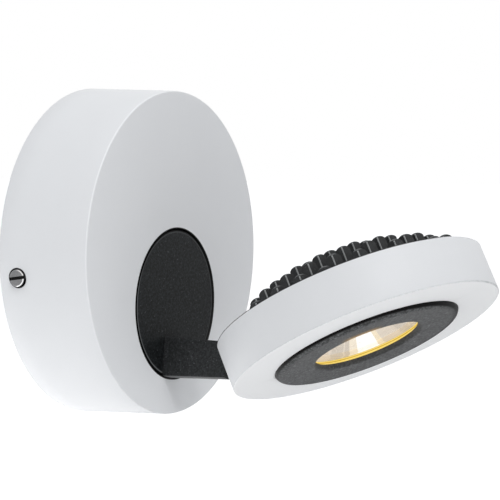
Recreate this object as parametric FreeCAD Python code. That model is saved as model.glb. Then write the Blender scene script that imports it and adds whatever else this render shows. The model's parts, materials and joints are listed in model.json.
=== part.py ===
# Pivoting spotlight wall light: a round wall canopy, a turntable with a flat arm, and a
# round head with a cast pin-fin heat sink that tilts on the end of the arm.
# Millimetres. Origin: centre of the canopy's back on the wall. +Y into the wall, +Z up.
import FreeCAD, Part
import math
import os

V = FreeCAD.Vector

# canopy
CANOPY_R_FACE = 60.0
CANOPY_DRAFT = 1.2
CANOPY_R_WALL = CANOPY_R_FACE + CANOPY_DRAFT
CANOPY_DEPTH = 36.0
CANOPY_SIDE_T = 2.2
CANOPY_FACE_T = 3.0
CANOPY_EDGE_R = 0.5
HUB_DROP = 19.0
POCKET_R = 28.1
POCKET_DEPTH = 6.2
POCKET_FLOOR_T = 3.0
CANOPY_BOSS_R = 10.5
CANOPY_BOSS_L = 5.0

# turntable
DISC_GAP = 0.45
DISC_R = POCKET_R - DISC_GAP
DISC_RECESS = 0.2
DISC_T = 5.4
DISC_CHAMFER = 0.6
HUB_R = 6.0
HUB_BORE_R = 3.0
HUB_RUN_CLEAR = 0.05
HUB_END_AT = 11.9
HUB_LEN = CANOPY_DEPTH - DISC_RECESS - DISC_T - HUB_END_AT
GLIDE_R = 12.0
GLIDE_T = POCKET_DEPTH - DISC_RECESS - DISC_T
STOP_T = 1.2
STOP_R = 10.0
STOP_TAB_R = 14.4
STOP_TAB_W = 1.2
STOP_PIN_R = 1.5
STOP_PIN_AT = 12.6
STOP_PIN_L = 10.0
WAVE_T = 1.4
WAVE_R = 9.4
NUT_ACROSS = 18.0
NUT_T = 5.0

# arm, measured out from the canopy's face and down from the turntable's axis
ARM_T = 12.0
ARM_TOP = 12.6
ARM_UNDER_R = DISC_R
ARM_UNDER_TAPER = 1.2
ARM_EDGE = 0.3
TONGUE_R = 4.8
PIVOT_OUT = 35.5
PIVOT_DOWN = 18.2
NECK_NEAR = 8.6
NECK_FAR = 10.2
ARM_BORE_R = 2.2
ARM_BORE_DOWN = 17.0
ARM_BORE_SHORT = 3.2
ARM_SCREW_DOWN = 23.6
ARM_SCREW_X = 3.0
ARM_SCREW_R = 1.5
ARM_SCREW_L = 12.0
ARM_SCREW_HEAD_R = 2.75

# rest pose, as pictured
TURN_REST = 8.0
TILT_REST = 62.7

# head, measured back from the ring's front face and out from the head's axis
RING_R = 50.0
RING_LEN = 17.0
RING_SIDE_T = 2.6
RING_FACE_T = 3.0
RING_FACE_W = 15.4
RING_HOLE_R = RING_R - RING_FACE_W
RING_EDGE_R = 0.5
PIVOT_IN = 7.5
PIVOT_AT = RING_R - PIVOT_IN
PIVOT_AHEAD = 3.5
PIVOT_BACK = RING_LEN - PIVOT_AHEAD
NOTCH_HALF = 7.4
NOTCH_CLEAR = 2.1
NOTCH_FLOOR = PIVOT_BACK - TONGUE_R - NOTCH_CLEAR
POCKET_CLEAR = 2.0
POCKET_WALL_AT = PIVOT_AT - TONGUE_R - POCKET_CLEAR
SINK_CLEAR = 0.2
SINK_R = RING_R - RING_SIDE_T - SINK_CLEAR
SINK_BASE_IN = 1.5
SINK_BASE_FRONT = RING_LEN - SINK_BASE_IN
SINK_SKIRT_L = 6.5
SINK_SKIRT_T = 3.0
SINK_FRONT = SINK_BASE_FRONT - SINK_SKIRT_L
FLANGE_STEP = 0.7
FLANGE_R = RING_R - FLANGE_STEP
FLANGE_T = 0.3
POST_PITCH = 9.5
POST_FOOT_W = 4.2
POST_TOP_W = 3.3
POST_TURN = -22.5
LATTICE_TURN = 2.8
LATTICE_X = 4.3
LATTICE_Z = -3.36
POST_ROOT = 0.3
POST_BATCH = 15
POST_RISE = 15.9
POST_EDGE_IN = 0.5
DOME_INSET = 1.2
DOME_FOOT_R = FLANGE_R - DOME_INSET
DOME_R = (DOME_FOOT_R ** 2 + POST_RISE ** 2) / (2 * POST_RISE)
CROWN_R = 3.2
CROWN_UP = 0.4
EAR_HALF = 11.4
PIN_SEAT = 10.4
RING_SCREW_IN = 5.8
RING_SCREW_AT = RING_R - RING_SIDE_T - RING_SCREW_IN
RING_SCREW_ANGLES = [90.0, 210.0, 330.0]
RING_SCREW_R = 1.5
RING_SCREW_HEAD_R = 2.75
RING_SCREW_HEAD_T = 2.2
RING_BOSS_R = 3.6
POST_CLEAR_R = 4.6
LEAD_HOLE_R = 2.6
LEAD_IN = 6.0
LEAD_AT = POCKET_WALL_AT - LEAD_IN

# pivot
PIN_R = 2.5
PIN_RUN_CLEAR = 0.05
PIN_THREAD_R = 1.5
FRICTION_T = 0.6
FRICTION_R = 5.6
EAR_INNER = ARM_T / 2 + FRICTION_T + 0.1
PIN_HEAD_R = 3.0
PIN_HEAD_T = 1.8
PIN_NUT_ACROSS = 5.5
PIN_NUT_T = 2.4
PIN_CLEAR_R = 3.8
PIN_DRILL_L = 60.0
SEAT_DRILL_L = 20.0

# optics
BEZEL_FIT = 0.05
BEZEL_R = RING_HOLE_R - BEZEL_FIT
BEZEL_PROUD = 1.9
BEZEL_SHOULDER = 2.4
BEZEL_SKIRT_BACK = 4.4
BEZEL_SKIRT_T = 2.4
EAR_CLEAR = 0.4
EAR_FRONT = BEZEL_SKIRT_BACK + EAR_CLEAR
APERTURE_R = 19.3
BEZEL_LIP = 1.8
GLASS_R = 21.0
GLASS_FRONT = 0.3
GLASS_T = 2.0
GASKET_T = 1.2
GASKET_IN_R = 18.9
REFL_MOUTH_R = 18.6
REFL_END_R = 7.4
REFL_T = 0.8
REFL_SIDES = 12
HOLDER_R = 13.0
HOLDER_T = 3.2
BOARD_R = 14.5
BOARD_T = 1.6
EMITTER_R = 5.2
EMITTER_T = 0.9
HOLDER_SCREW_AT = 10.4
HOLDER_SCREW_R = 1.25
HOLDER_SCREW_L = 6.5
HOLDER_BITE = 1.5

# wall bracket and what it carries
SIDE_SEAT_AT = CANOPY_R_FACE - 1.3
SIDE_PAD_IN = CANOPY_R_FACE - 5.7
SIDE_PAD_HALF = 7.0
SIDE_PAD_L = 15.0
PLATE_R = SIDE_PAD_IN - 0.3
PLATE_T = 1.5
PLATE_FLAT_LOW = 0.78 * PLATE_R
PLATE_FLAT_HIGH = 0.85 * PLATE_R
TAB_W = 16.0
TAB_L = 14.0
TAB_T = 2.0
SIDE_SCREW_BACK = 7.4
SIDE_SCREW_DROP = 6.8
SIDE_SCREW_R = 2.0
SIDE_SCREW_HEAD_R = 3.15
SIDE_SCREW_HEAD_T = 2.6
SIDE_SCREW_HOLE_R = 2.3
SIDE_SCREW_SLOT_TURN = -8.0
SIDE_SCREW_L = 12.0
SIDE_SINK_R = 3.45
WALL_SLOT_SPACING = 70.0
WALL_SLOT_R = 2.3
WALL_SLOT_LEN = 14.0
INLET_R = 9.0
INLET_UP = -15.0
GROMMET_HOLE_R = 5.0
GROMMET_LEN = 4.2
GROMMET_LIP = 1.5
DRIVER_L = 1.3 * CANOPY_R_FACE
DRIVER_H = 0.5 * CANOPY_R_FACE
DRIVER_ROOM = 15.0
DRIVER_D = CANOPY_DEPTH - DRIVER_ROOM
DRIVER_UP = 0.45 * CANOPY_R_FACE
DRIVER_STAND = 2.5
FOOT_L = 8.0
FOOT_T = 2.0
FOOT_HALF = 6.0
BLOCK_L = 24.0
BLOCK_H = 14.0
BLOCK_D = 12.0
BLOCK_PITCH = 7.6
BLOCK_WIRE_BACK = 5.0
BLOCK_X = -0.55 * CANOPY_R_FACE
BLOCK_Z = -0.45 * CANOPY_R_FACE
EARTH_X = 0.55 * CANOPY_R_FACE
EARTH_Z = -0.45 * CANOPY_R_FACE
EARTH_STAND = 2.0
EARTH_SCREW_R = 2.0
EARTH_HEAD_R = 3.6
EARTH_HEAD_T = 2.4
EARTH_WASHER_R = 4.2
EARTH_WASHER_T = 1.0
EARTH_SCREW_L = 4.2
MAINS_R = 1.3
LEAD_R = 1.2
LEAD_STEP = 4.0


def cyl(r, y0, y1, x=0.0, z=0.0):
    return Part.makeCylinder(r, y1 - y0, V(x, y0, z), V(0, 1, 0))


def tube(r_out, r_in, y0, y1, x=0.0, z=0.0):
    return cyl(r_out, y0, y1, x, z).cut(cyl(r_in, y0 - 1, y1 + 1, x, z))


def box(x0, x1, y0, y1, z0, z1):
    return Part.makeBox(x1 - x0, y1 - y0, z1 - z0, V(x0, y0, z0))


def ring_of(points):
    # points are (radius, y), turned about the Y axis
    wire = Part.makePolygon([V(r, y, 0) for r, y in points + points[:1]])
    return Part.Face(wire).revolve(V(0, 0, 0), V(0, 1, 0), 360)


def hexagon(across, y0, y1, x=0.0, z=0.0):
    r = across / 2 / math.cos(math.pi / 6)
    pts = [V(x + r * math.cos(math.radians(60 * k)), y0, z + r * math.sin(math.radians(60 * k)))
           for k in range(7)]
    return Part.Face(Part.makePolygon(pts)).extrude(V(0, y1 - y0, 0))


def arc_points(cx, cy, r, a0, a1, steps):
    out = []
    for k in range(steps + 1):
        a = math.radians(a0 + (a1 - a0) * k / steps)
        out.append((cx + r * math.cos(a), cy + r * math.sin(a)))
    return out


def fuse(shapes):
    out = shapes[0]
    for s in shapes[1:]:
        out = out.fuse(s)
    return out.removeSplitter()


def slotted_screw(r, length, head_r, head_t, slot_w, slot_d, point=0.4):
    # head on the -Y side with its underside at y = 0, shank along +Y
    s = cyl(r, 0, length)
    s = s.makeChamfer(point, [e for e in s.Edges if len(e.Vertexes) == 1 and
                              abs(e.Vertexes[0].Point.y - length) < 1e-6])
    h = cyl(head_r, -head_t, 0)
    h = h.makeFillet(0.5, [e for e in h.Edges if len(e.Vertexes) == 1 and
                           abs(e.Vertexes[0].Point.y + head_t) < 1e-6])
    s = s.fuse(h)
    s = s.cut(box(-head_r - 1, head_r + 1, -head_t - 1, -head_t + slot_d, -slot_w / 2, slot_w / 2))
    return s.removeSplitter()


def flat_head_screw(r, length, head_r, drive=1.0):
    # countersunk head with its top at y = 0, shank along -Y
    cone = head_r - r
    body = ring_of([(0, -length), (r - 0.3, -length), (r, -length + 0.3), (r, -cone),
                    (head_r, 0), (0, 0)])
    return body.cut(hexagon(drive * 2, -drive * 1.2, 1))


def socket_screw(r, length, head_r, head_t, drive):
    # cylinder head on the +Y side with its underside at y = 0, shank along -Y
    body = ring_of([(0, -length), (r - 0.3, -length), (r, -length + 0.3), (r, 0), (head_r, 0),
                    (head_r, head_t - 0.3), (head_r - 0.3, head_t), (0, head_t)])
    return body.cut(hexagon(drive, head_t * 0.4, head_t + 1))


def turned(shape, axis, angle, at=V(0, 0, 0)):
    out = shape.copy()
    out.rotate(at, axis, angle)
    return out


def moved(shape, x, y, z):
    out = shape.copy()
    out.translate(V(x, y, z))
    return out


def moved_point(p, dx):
    return V(p.x + dx, p.y, p.z)


# wall side

def canopy_shell():
    d = CANOPY_DEPTH
    slope = (CANOPY_R_WALL - CANOPY_R_FACE) / d
    edge = arc_points(CANOPY_R_FACE - CANOPY_EDGE_R, -d + CANOPY_EDGE_R, CANOPY_EDGE_R, -90, 0, 4)
    outer = [(0, -d)] + edge + [(CANOPY_R_WALL, 0)]
    inner = [(CANOPY_R_WALL - CANOPY_SIDE_T, 0),
             (CANOPY_R_FACE - CANOPY_SIDE_T + slope * CANOPY_FACE_T, -d + CANOPY_FACE_T),
             (0, -d + CANOPY_FACE_T)]
    shell = ring_of(outer + inner)
    z = -HUB_DROP
    floor_back = -d + POCKET_DEPTH + POCKET_FLOOR_T
    shell = shell.fuse(cyl(POCKET_R + CANOPY_FACE_T, -d + 1, floor_back, 0, z))
    shell = shell.fuse(cyl(CANOPY_BOSS_R, floor_back - 1, floor_back + CANOPY_BOSS_L, 0, z))
    shell = shell.cut(cyl(POCKET_R, -d - 1, -d + POCKET_DEPTH, 0, z))
    shell = shell.cut(cyl(HUB_R + HUB_RUN_CLEAR, -d, 0, 0, z))
    keep = ring_of([(0, -d)] + edge + [(CANOPY_R_WALL, 0), (0, 0)])
    shell = shell.common(keep)
    shell = shell.cut(cyl(STOP_PIN_R, floor_back - 2, 0, 0, z + STOP_PIN_AT))
    for side in (-1, 1):
        lo, hi = sorted((side * SIDE_PAD_IN, side * (CANOPY_R_FACE - 1)))
        pad = box(lo, hi, -SIDE_PAD_L, 0, -SIDE_SCREW_DROP - SIDE_PAD_HALF, -SIDE_SCREW_DROP + SIDE_PAD_HALF)
        shell = shell.fuse(pad.common(keep))
        at = V(side * SIDE_PAD_IN, -SIDE_SCREW_BACK, -SIDE_SCREW_DROP)
        shell = shell.cut(Part.makeCylinder(SIDE_SCREW_HOLE_R, 10, moved_point(at, -side * 2), V(side, 0, 0)))
        seat = V(side * SIDE_SEAT_AT, -SIDE_SCREW_BACK, -SIDE_SCREW_DROP)
        shell = shell.cut(Part.makeCylinder(SIDE_SINK_R, 8, seat, V(side, 0, 0)))
    return shell.removeSplitter()


def side_screw(side):
    s = slotted_screw(SIDE_SCREW_R, SIDE_SCREW_L, SIDE_SCREW_HEAD_R, SIDE_SCREW_HEAD_T, 1.1, 1.2)
    s = turned(s, V(0, 1, 0), SIDE_SCREW_SLOT_TURN)
    s = turned(s, V(0, 0, 1), 90 * side)
    return moved(s, side * SIDE_SEAT_AT, -SIDE_SCREW_BACK, -SIDE_SCREW_DROP)


def side_tab(side):
    x_in = side * (PLATE_R - TAB_T)
    x_out = side * PLATE_R
    lo, hi = min(x_in, x_out), max(x_in, x_out)
    z0 = -SIDE_SCREW_DROP - TAB_W / 2
    tab = box(lo, hi, -TAB_L, 0, z0, z0 + TAB_W)
    return tab


def wall_bracket():
    p = cyl(PLATE_R, -PLATE_T, 0)
    p = p.cut(box(-PLATE_R, PLATE_R, -3, 1, -PLATE_R, -PLATE_FLAT_LOW))
    p = p.cut(box(-PLATE_R, PLATE_R, -3, 1, PLATE_FLAT_HIGH, PLATE_R))
    for side in (-1, 1):
        p = p.fuse(side_tab(side))
        hole = Part.makeCylinder(SIDE_SCREW_R, 5 * TAB_T, V(side * (PLATE_R - 3 * TAB_T), -SIDE_SCREW_BACK,
                                                            -SIDE_SCREW_DROP), V(side, 0, 0))
        p = p.cut(hole)
        x = side * WALL_SLOT_SPACING / 2
        half = WALL_SLOT_LEN / 2 - WALL_SLOT_R
        slot = box(x - half, x + half, -3, 1, -WALL_SLOT_R, WALL_SLOT_R)
        for e in (-1, 1):
            slot = slot.fuse(cyl(WALL_SLOT_R, -3, 1, x + e * half, 0))
        p = p.cut(slot)
    p = p.cut(cyl(INLET_R, -3, 1, 0, INLET_UP))
    for x in (-DRIVER_L / 2 + FOOT_L / 2, DRIVER_L / 2 - FOOT_L / 2):
        p = p.fuse(cyl(3.0, -PLATE_T - DRIVER_STAND, -PLATE_T, x, DRIVER_UP))
        p = p.cut(cyl(1.5, -10, 1, x, DRIVER_UP))
    p = p.fuse(cyl(3.4, -PLATE_T - EARTH_STAND, -PLATE_T, EARTH_X, EARTH_Z))
    p = p.cut(cyl(2.0, -10, 1, EARTH_X, EARTH_Z))
    p = p.cut(cyl(1.5, -3, 1, BLOCK_X, BLOCK_Z))
    return p.removeSplitter()


def cable_grommet():
    g = ring_of([(GROMMET_HOLE_R, -GROMMET_LEN), (INLET_R + GROMMET_LIP, -GROMMET_LEN),
                 (INLET_R + GROMMET_LIP, -PLATE_T), (INLET_R, -PLATE_T), (INLET_R, 0), (GROMMET_HOLE_R, 0)])
    return moved(g, 0, 0, INLET_UP)


def terminal_block():
    y1 = -PLATE_T
    b = box(BLOCK_X - BLOCK_L / 2, BLOCK_X + BLOCK_L / 2, y1 - BLOCK_D, y1,
            BLOCK_Z - BLOCK_H / 2, BLOCK_Z + BLOCK_H / 2)
    b = b.makeFillet(1.0, [e for e in b.Edges if abs(e.Vertexes[0].Point.x - e.Vertexes[1].Point.x) < 1e-6
                           and abs(e.Vertexes[0].Point.z - e.Vertexes[1].Point.z) < 1e-6])
    for k in (-1, 0, 1):
        x = BLOCK_X + k * BLOCK_PITCH
        b = b.cut(cyl(1.9, y1 - BLOCK_D - 1, y1 - BLOCK_D + 3.0, x, BLOCK_Z))
        b = b.cut(Part.makeCylinder(1.5, 5, V(x, y1 - BLOCK_WIRE_BACK, BLOCK_Z + BLOCK_H / 2 - 4), V(0, 0, 1)))
        b = b.cut(Part.makeCylinder(1.5, 5, V(x, y1 - BLOCK_WIRE_BACK, BLOCK_Z - BLOCK_H / 2 + 4), V(0, 0, -1)))
    return b


def terminal_screw(k):
    top = -PLATE_T - BLOCK_D
    s = cyl(1.7, top + 0.8, top + 3.0).cut(box(-3, 3, top, top + 1.5, -0.3, 0.3))
    return moved(turned(s, V(0, 1, 0), 20 * k), BLOCK_X + k * BLOCK_PITCH, 0, BLOCK_Z)


def earth_screw():
    s = slotted_screw(EARTH_SCREW_R, EARTH_SCREW_L, EARTH_HEAD_R, EARTH_HEAD_T, 1.0, 1.1)
    return moved(s, EARTH_X, -PLATE_T - EARTH_STAND - EARTH_WASHER_T, EARTH_Z)


def earth_washer():
    y = -PLATE_T - EARTH_STAND
    return tube(EARTH_WASHER_R, EARTH_SCREW_R, y - EARTH_WASHER_T, y, EARTH_X, EARTH_Z)


def led_driver():
    y1 = -PLATE_T - DRIVER_STAND
    y0 = y1 - DRIVER_D
    b = box(-DRIVER_L / 2 + FOOT_L, DRIVER_L / 2 - FOOT_L, y0, y1, DRIVER_UP - DRIVER_H / 2,
            DRIVER_UP + DRIVER_H / 2)
    upright = [e for e in b.Edges if abs(e.Vertexes[0].Point.y - e.Vertexes[1].Point.y) > 1]
    b = b.makeFillet(2.0, upright)
    foot = box(-DRIVER_L / 2, DRIVER_L / 2, y1 - FOOT_T, y1, DRIVER_UP - FOOT_HALF, DRIVER_UP + FOOT_HALF)
    b = b.fuse(foot)
    for x in (-DRIVER_L / 2 + FOOT_L / 2, DRIVER_L / 2 - FOOT_L / 2):
        b = b.cut(cyl(1.6, y0, y1 + 1, x, DRIVER_UP))
    return b.removeSplitter()


def driver_screw(side):
    s = slotted_screw(1.5, 5.6, 2.9, 1.9, 0.8, 1.0)
    return moved(s, side * (DRIVER_L / 2 - FOOT_L / 2), -PLATE_T - DRIVER_STAND - FOOT_T, DRIVER_UP)


def wire(points, r):
    parts = []
    for a, b in zip(points, points[1:]):
        d = V(*b).sub(V(*a))
        parts.append(Part.makeCylinder(r, d.Length, V(*a), d))
    for p in points[1:-1]:
        parts.append(Part.makeSphere(r, V(*p)))
    return fuse(parts)


def mains_lead():
    x = BLOCK_X - BLOCK_PITCH
    z = BLOCK_Z + BLOCK_H / 2
    y = -PLATE_T - BLOCK_WIRE_BACK
    case_x = -DRIVER_L / 2 + FOOT_L
    z_in = DRIVER_UP - FOOT_HALF
    return wire([(x, y, z - LEAD_STEP / 2), (x, y, z + 2 * LEAD_STEP),
                 ((x + case_x - LEAD_STEP) / 2, y - LEAD_STEP, (z + z_in) / 2),
                 (case_x - LEAD_STEP, y - 2 * LEAD_STEP, z_in), (case_x, y - 2 * LEAD_STEP, z_in)], MAINS_R)


def driver_lead():
    y = -PLATE_T - DRIVER_STAND - 0.62 * DRIVER_D
    z = DRIVER_UP - DRIVER_H / 2
    x = 0.33 * CANOPY_R_FACE
    hub_back = -CANOPY_DEPTH + DISC_RECESS + DISC_T + HUB_LEN
    y_turn = hub_back / 2
    return wire([(x, y, z), (x, y, z - 2 * LEAD_STEP), (0.7 * x, (y + y_turn) / 2, (z - HUB_DROP) / 2),
                 (HUB_R, y_turn, LEAD_STEP - HUB_DROP), (0, y_turn, -HUB_DROP),
                 (0, hub_back - LEAD_STEP / 2, -HUB_DROP)], LEAD_R)


def stop_pin():
    floor_back = -CANOPY_DEPTH + POCKET_DEPTH + POCKET_FLOOR_T
    return cyl(STOP_PIN_R, floor_back - 2, floor_back - 2 + STOP_PIN_L, 0, -HUB_DROP + STOP_PIN_AT)


# turntable side, drawn with the arm straight down and the hub's axis at x = z = 0

FACE_Y = -CANOPY_DEPTH + DISC_RECESS
DISC_BACK_Y = FACE_Y + DISC_T
FLOOR_BACK_Y = -CANOPY_DEPTH + POCKET_DEPTH + POCKET_FLOOR_T + CANOPY_BOSS_L
STOP_Y = FLOOR_BACK_Y + 0.3
WAVE_Y = STOP_Y + STOP_T
NUT_Y = WAVE_Y + WAVE_T


def turntable_disc():
    c = DISC_CHAMFER
    d = ring_of([(0, FACE_Y), (DISC_R - c, FACE_Y), (DISC_R, FACE_Y + c), (DISC_R, DISC_BACK_Y),
                 (0, DISC_BACK_Y)])
    d = d.cut(cyl(HUB_R, FACE_Y + 2.0, 0))
    groove_y = DISC_BACK_Y - 3.2
    d = d.cut(box(-2.4, 2.4, groove_y, DISC_BACK_Y + 1, -ARM_BORE_DOWN - 2.4, 0))
    d = d.cut(cyl(ARM_BORE_R, FACE_Y - 1, DISC_BACK_Y + 1, 0, -ARM_BORE_DOWN))
    for x in (-ARM_SCREW_X, ARM_SCREW_X):
        at = moved(Part.makeCone(ARM_SCREW_R, ARM_SCREW_HEAD_R, ARM_SCREW_HEAD_R - ARM_SCREW_R,
                                 V(0, 0, 0), V(0, 1, 0)), x,
                   DISC_BACK_Y - (ARM_SCREW_HEAD_R - ARM_SCREW_R), -ARM_SCREW_DOWN)
        d = d.cut(at)
        d = d.cut(cyl(ARM_SCREW_R, FACE_Y - 1, DISC_BACK_Y, x, -ARM_SCREW_DOWN))
    return d


def hub_nipple():
    n = tube(HUB_R, HUB_BORE_R, FACE_Y + 2.0, FACE_Y + DISC_T + HUB_LEN)
    n = n.cut(box(-2.4, 2.4, DISC_BACK_Y - 3.2, DISC_BACK_Y, -HUB_R - 1, 0))
    return n


def glide_washer():
    w = tube(GLIDE_R, HUB_R, DISC_BACK_Y, DISC_BACK_Y + GLIDE_T - 0.1)
    return w


def stop_washer():
    w = cyl(STOP_R, STOP_Y, STOP_Y + STOP_T)
    w = w.fuse(box(-STOP_TAB_W / 2, STOP_TAB_W / 2, STOP_Y, STOP_Y + STOP_T, -STOP_TAB_R, 0))
    return w.cut(cyl(HUB_R, STOP_Y - 1, STOP_Y + STOP_T + 1)).removeSplitter()


def wave_washer():
    return tube(WAVE_R, HUB_R, WAVE_Y, WAVE_Y + WAVE_T)


def hub_nut():
    n = hexagon(NUT_ACROSS, NUT_Y, NUT_Y + NUT_T)
    n = n.common(ring_of([(0, NUT_Y - 1), (NUT_ACROSS * 0.53, NUT_Y - 1), (NUT_ACROSS * 0.62, NUT_Y + 1),
                          (NUT_ACROSS * 0.62, NUT_Y + NUT_T - 1), (NUT_ACROSS * 0.53, NUT_Y + NUT_T + 1),
                          (0, NUT_Y + NUT_T + 1)]))
    return n.cut(cyl(HUB_R, NUT_Y - 1, NUT_Y + NUT_T + 1))


def arm_side():
    # outline seen from the side, in (y, z); returns the extruded bar
    y0 = FACE_Y
    yp = -CANOPY_DEPTH - PIVOT_OUT
    zp = -PIVOT_DOWN
    pts = [(y0, -ARM_TOP), (y0, -ARM_UNDER_R - 1), (yp + NECK_FAR, -ARM_UNDER_R - 1),
           (yp + NECK_NEAR, zp - TONGUE_R), (yp, zp - TONGUE_R)]
    sides = [Part.makeLine(V(-ARM_T / 2, a[0], a[1]), V(-ARM_T / 2, b[0], b[1]))
             for a, b in zip(pts, pts[1:])]
    arc = Part.Arc(V(-ARM_T / 2, yp, zp - TONGUE_R), V(-ARM_T / 2, yp - TONGUE_R, zp),
                   V(-ARM_T / 2, yp, zp + TONGUE_R)).toShape()
    last = Part.makeLine(V(-ARM_T / 2, yp, zp + TONGUE_R), V(-ARM_T / 2, y0, -ARM_TOP))
    return Part.Face(Part.Wire(sides + [arc, last])).extrude(V(ARM_T, 0, 0))


def arm_bar():
    # the underside follows the disc's round edge and tapers a little towards the pivot
    yp = -CANOPY_DEPTH - PIVOT_OUT
    reach = FACE_Y - yp + TONGUE_R
    under = Part.makeCone(ARM_UNDER_R, ARM_UNDER_R - ARM_UNDER_TAPER, reach, V(0, FACE_Y, 0), V(0, -1, 0))
    a = arm_side().common(under)
    long_edges = [e for e in a.Edges if all(abs(abs(v.Point.x) - ARM_T / 2) < 1e-3 for v in e.Vertexes)
                  and abs(e.Vertexes[0].Point.y - e.Vertexes[-1].Point.y) > NECK_FAR]
    a = a.makeChamfer(ARM_EDGE, long_edges)
    a = a.cut(Part.makeCylinder(PIN_R + PIN_RUN_CLEAR, 2 * ARM_T, V(-ARM_T, yp, -PIVOT_DOWN), V(1, 0, 0)))
    bore_end = yp + PIN_R + ARM_BORE_SHORT
    a = a.cut(cyl(ARM_BORE_R, bore_end, 0, 0, -ARM_BORE_DOWN))
    a = a.cut(box(-ARM_BORE_R, ARM_BORE_R, bore_end, bore_end + 9, -ARM_BORE_DOWN, -ARM_TOP + 1))
    for x in (-ARM_SCREW_X, ARM_SCREW_X):
        a = a.cut(cyl(ARM_SCREW_R, DISC_BACK_Y - ARM_SCREW_L - 1, 0, x, -ARM_SCREW_DOWN))
    return a


def arm_screw(side):
    s = flat_head_screw(ARM_SCREW_R, ARM_SCREW_L, ARM_SCREW_HEAD_R)
    return moved(s, side * ARM_SCREW_X, DISC_BACK_Y, -ARM_SCREW_DOWN)


def arm_lead():
    yp = -CANOPY_DEPTH - PIVOT_OUT
    gy = DISC_BACK_Y - 1.6
    end = yp + PIN_R + ARM_BORE_SHORT + ARM_BORE_R
    return wire([(0, FACE_Y + DISC_T + HUB_LEN - 6, 0), (0, gy, 0), (0, gy, -ARM_BORE_DOWN),
                 (0, end, -ARM_BORE_DOWN), (0, end, -ARM_TOP - 0.6)], LEAD_R)


# head, drawn facing -Y with its front face at y = 0 and the pivot straight below its axis

def head_ring():
    edge = arc_points(RING_R - RING_EDGE_R, RING_EDGE_R, RING_EDGE_R, -90, 0, 4)
    pts = [(RING_HOLE_R, 0)] + edge + [(RING_R, RING_LEN), (RING_R - RING_SIDE_T, RING_LEN),
                                       (RING_R - RING_SIDE_T, RING_FACE_T), (RING_HOLE_R, RING_FACE_T)]
    r = ring_of(pts)
    for a in RING_SCREW_ANGLES:
        x, z = polar(RING_SCREW_AT, a)
        r = r.fuse(cyl(RING_BOSS_R, RING_FACE_T - 0.5, SINK_BASE_FRONT, x, z))
        r = r.cut(cyl(RING_SCREW_R, RING_FACE_T + 3, SINK_BASE_FRONT + 1, x, z))
    r = r.cut(box(-NOTCH_HALF, NOTCH_HALF, NOTCH_FLOOR, RING_LEN + 5, -RING_R - 5, -PIVOT_AT))
    return r.removeSplitter()


def polar(r, deg):
    a = math.radians(deg)
    return r * math.cos(a), r * math.sin(a)


def square_wire(w, y):
    h = w / 2
    return Part.makePolygon([V(-h, y, -h), V(h, y, -h), V(h, y, h), V(-h, y, h), V(-h, y, -h)])


def posts():
    # drafted square posts with rounded crowns on a square lattice, their heights following one dome,
    # cleared round the screws and the arm
    y = RING_LEN + FLANGE_T
    post = Part.makeLoft([square_wire(POST_FOOT_W, y - POST_ROOT), square_wire(POST_TOP_W, y + POST_RISE)], True, True)
    post.rotate(V(0, 0, 0), V(0, 1, 0), POST_TURN)
    bound = cyl(DOME_FOOT_R, y - POST_ROOT, y + POST_RISE)
    clear = [polar(RING_SCREW_AT, a) for a in RING_SCREW_ANGLES] + [(0, -LEAD_AT)]
    n = int(DOME_FOOT_R / POST_PITCH) + 1
    a = math.radians(LATTICE_TURN)
    out = []
    for i in range(-n, n + 1):
        for k in range(-n, n + 1):
            x0 = i * POST_PITCH + LATTICE_X
            z0 = k * POST_PITCH + LATTICE_Z
            x = x0 * math.cos(a) - z0 * math.sin(a)
            z = x0 * math.sin(a) + z0 * math.cos(a)
            near_screw = min(math.hypot(x - cx, z - cz) for cx, cz in clear) < POST_CLEAR_R + POST_FOOT_W / 2
            near_arm = abs(x) < NOTCH_HALF + POST_FOOT_W * 0.7 and z < -POCKET_WALL_AT + POST_FOOT_W * 0.7
            if math.hypot(x, z) > DOME_FOOT_R - POST_EDGE_IN or near_screw or near_arm:
                continue
            rise = POST_RISE - DOME_R + math.sqrt(DOME_R ** 2 - x * x - z * z) + CROWN_UP
            crown = Part.makeSphere(CROWN_R, V(x, y + rise - CROWN_R, z))
            if rise > CROWN_R:
                crown = crown.fuse(cyl(CROWN_R, y - POST_ROOT, y + rise - CROWN_R, x, z))
            out.append(moved(post.copy(), x, 0, z).common(crown).common(bound))
    return out


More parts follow.
